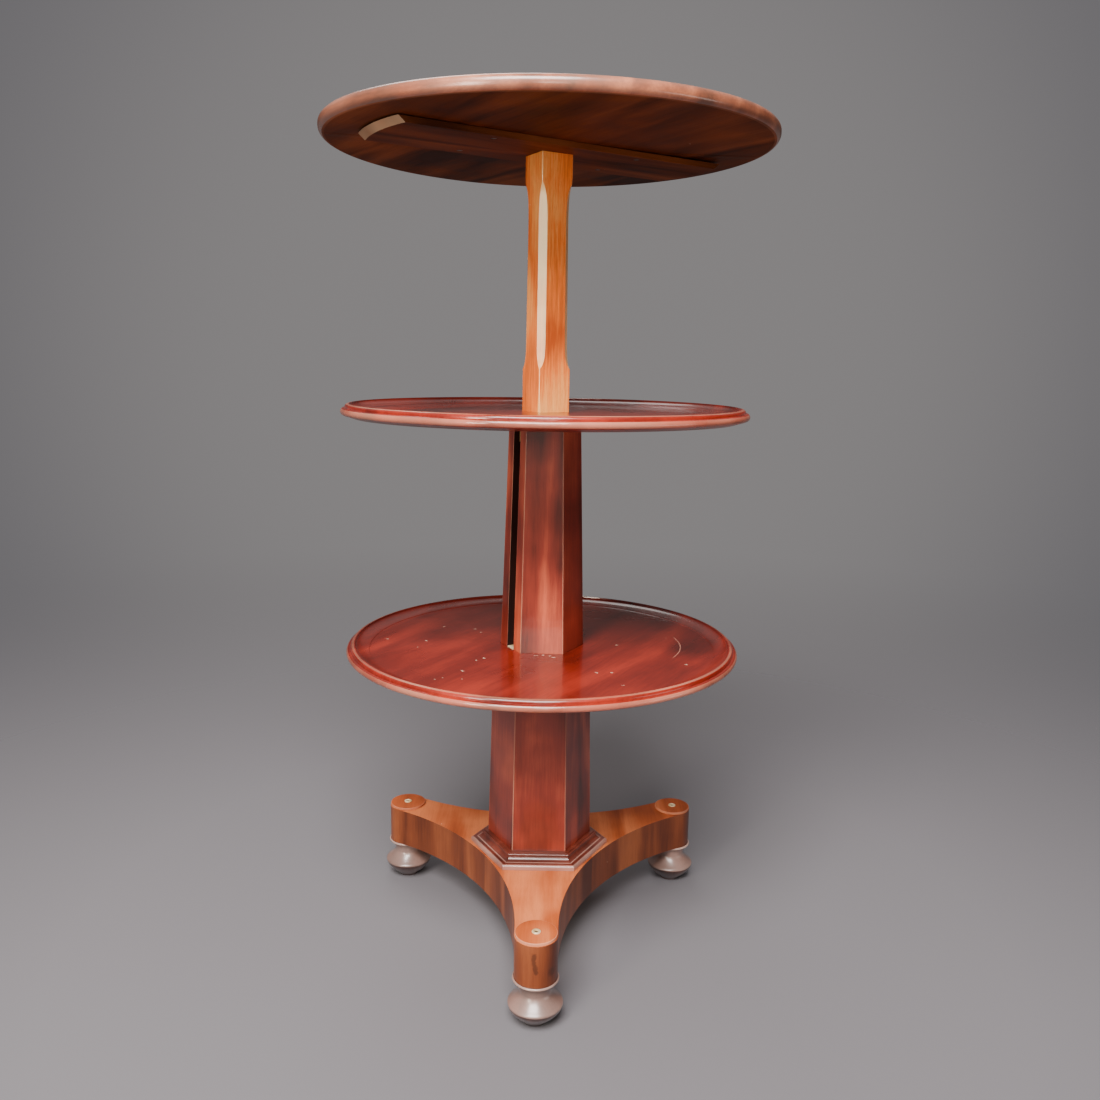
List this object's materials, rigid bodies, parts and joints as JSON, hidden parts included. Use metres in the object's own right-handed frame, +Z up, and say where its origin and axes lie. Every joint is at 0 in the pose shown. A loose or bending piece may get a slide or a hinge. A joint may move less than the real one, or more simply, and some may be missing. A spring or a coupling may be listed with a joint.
{
  "type": "dumbwaiter table",
  "caption": "Three-tier round dumbwaiter table in mahogany: a square post and a slotted hexagonal column slide into a hexagonal column on a three-armed plinth with turned feet.",
  "frame": {"origin": "centre of the table at floor level", "axes": "+Z up; the plinth's front arm points along -Y; the slotted face of the middle column looks to the front left, at 210 degrees from +X"},
  "size_m": [0.61, 0.61, 1.147],
  "materials": {
    "top_wood": "waxed dark mahogany",
    "tray_wood": "french-polished red mahogany",
    "column_wood": "polished mahogany veneer",
    "post_wood": "polished golden mahogany",
    "plinth_wood": "polished brown mahogany veneer",
    "moulding_wood": "polished dark mahogany",
    "hidden_wood": "unfinished secondary wood",
    "ebonised_wood": "polished near-black turned wood",
    "brass": "worn brass",
    "steel": "plain steel"
  },
  "bodies": {
    "stand": {"arm_pad_front": "plinth_wood", "arm_pad_left": "plinth_wood", "arm_pad_right": "plinth_wood", "bottom_bearer": "column_wood", "bottom_tray": "tray_wood", "foot_front": "ebonised_wood", "foot_left": "ebonised_wood", "foot_right": "ebonised_wood", "foot_screw_front": "steel", "foot_screw_left": "steel", "foot_screw_right": "steel", "lower_stave_back": "column_wood", "lower_stave_back_left": "column_wood", "lower_stave_back_right": "column_wood", "lower_stave_front": "column_wood", "lower_stave_front_left": "column_wood", "lower_stave_front_right": "column_wood", "pad_eye_front": "brass", "pad_eye_left": "brass", "pad_eye_right": "brass", "plinth_arm_front": "plinth_wood", "plinth_arm_left": "plinth_wood", "plinth_arm_right": "plinth_wood", "plinth_moulding_back": "moulding_wood", "plinth_moulding_back_left": "moulding_wood", "plinth_moulding_back_right": "moulding_wood", "plinth_moulding_front": "moulding_wood", "plinth_moulding_front_left": "moulding_wood", "plinth_moulding_front_right": "moulding_wood", "slot_key": "brass", "tie_board": "hidden_wood", "tie_screw_front": "steel", "tie_screw_left": "steel", "tie_screw_right": "steel"},
    "middle_stage": {"column_spring_back": "steel", "column_spring_front": "steel", "middle_bearer": "column_wood", "middle_stave_back": "column_wood", "middle_stave_back_left": "column_wood", "middle_stave_back_right": "column_wood", "middle_stave_front": "column_wood", "middle_stave_front_right": "column_wood", "middle_tray": "tray_wood", "slot_cheek_left": "column_wood", "slot_cheek_right": "column_wood", "slot_stop": "column_wood"},
    "top_stage": {"batten_screw_back_left": "steel", "batten_screw_back_right": "steel", "batten_screw_front_left": "steel", "batten_screw_front_right": "steel", "post": "post_wood", "post_shoe": "hidden_wood", "post_spring_back": "steel", "post_spring_front": "steel", "shoe_screw": "steel", "shoe_washer": "steel", "top_batten": "top_wood", "top_board": "top_wood"}
  },
  "joints": [
    {"name": "middle_slide", "type": "slide", "parent": "stand", "child": "middle_stage", "axis": [0, 0, 1], "range_m": [-0.3202, 0]},
    {"name": "top_slide", "type": "slide", "parent": "middle_stage", "child": "top_stage", "axis": [0, 0, 1], "range_m": [-0.3403, 0]}
  ]
}
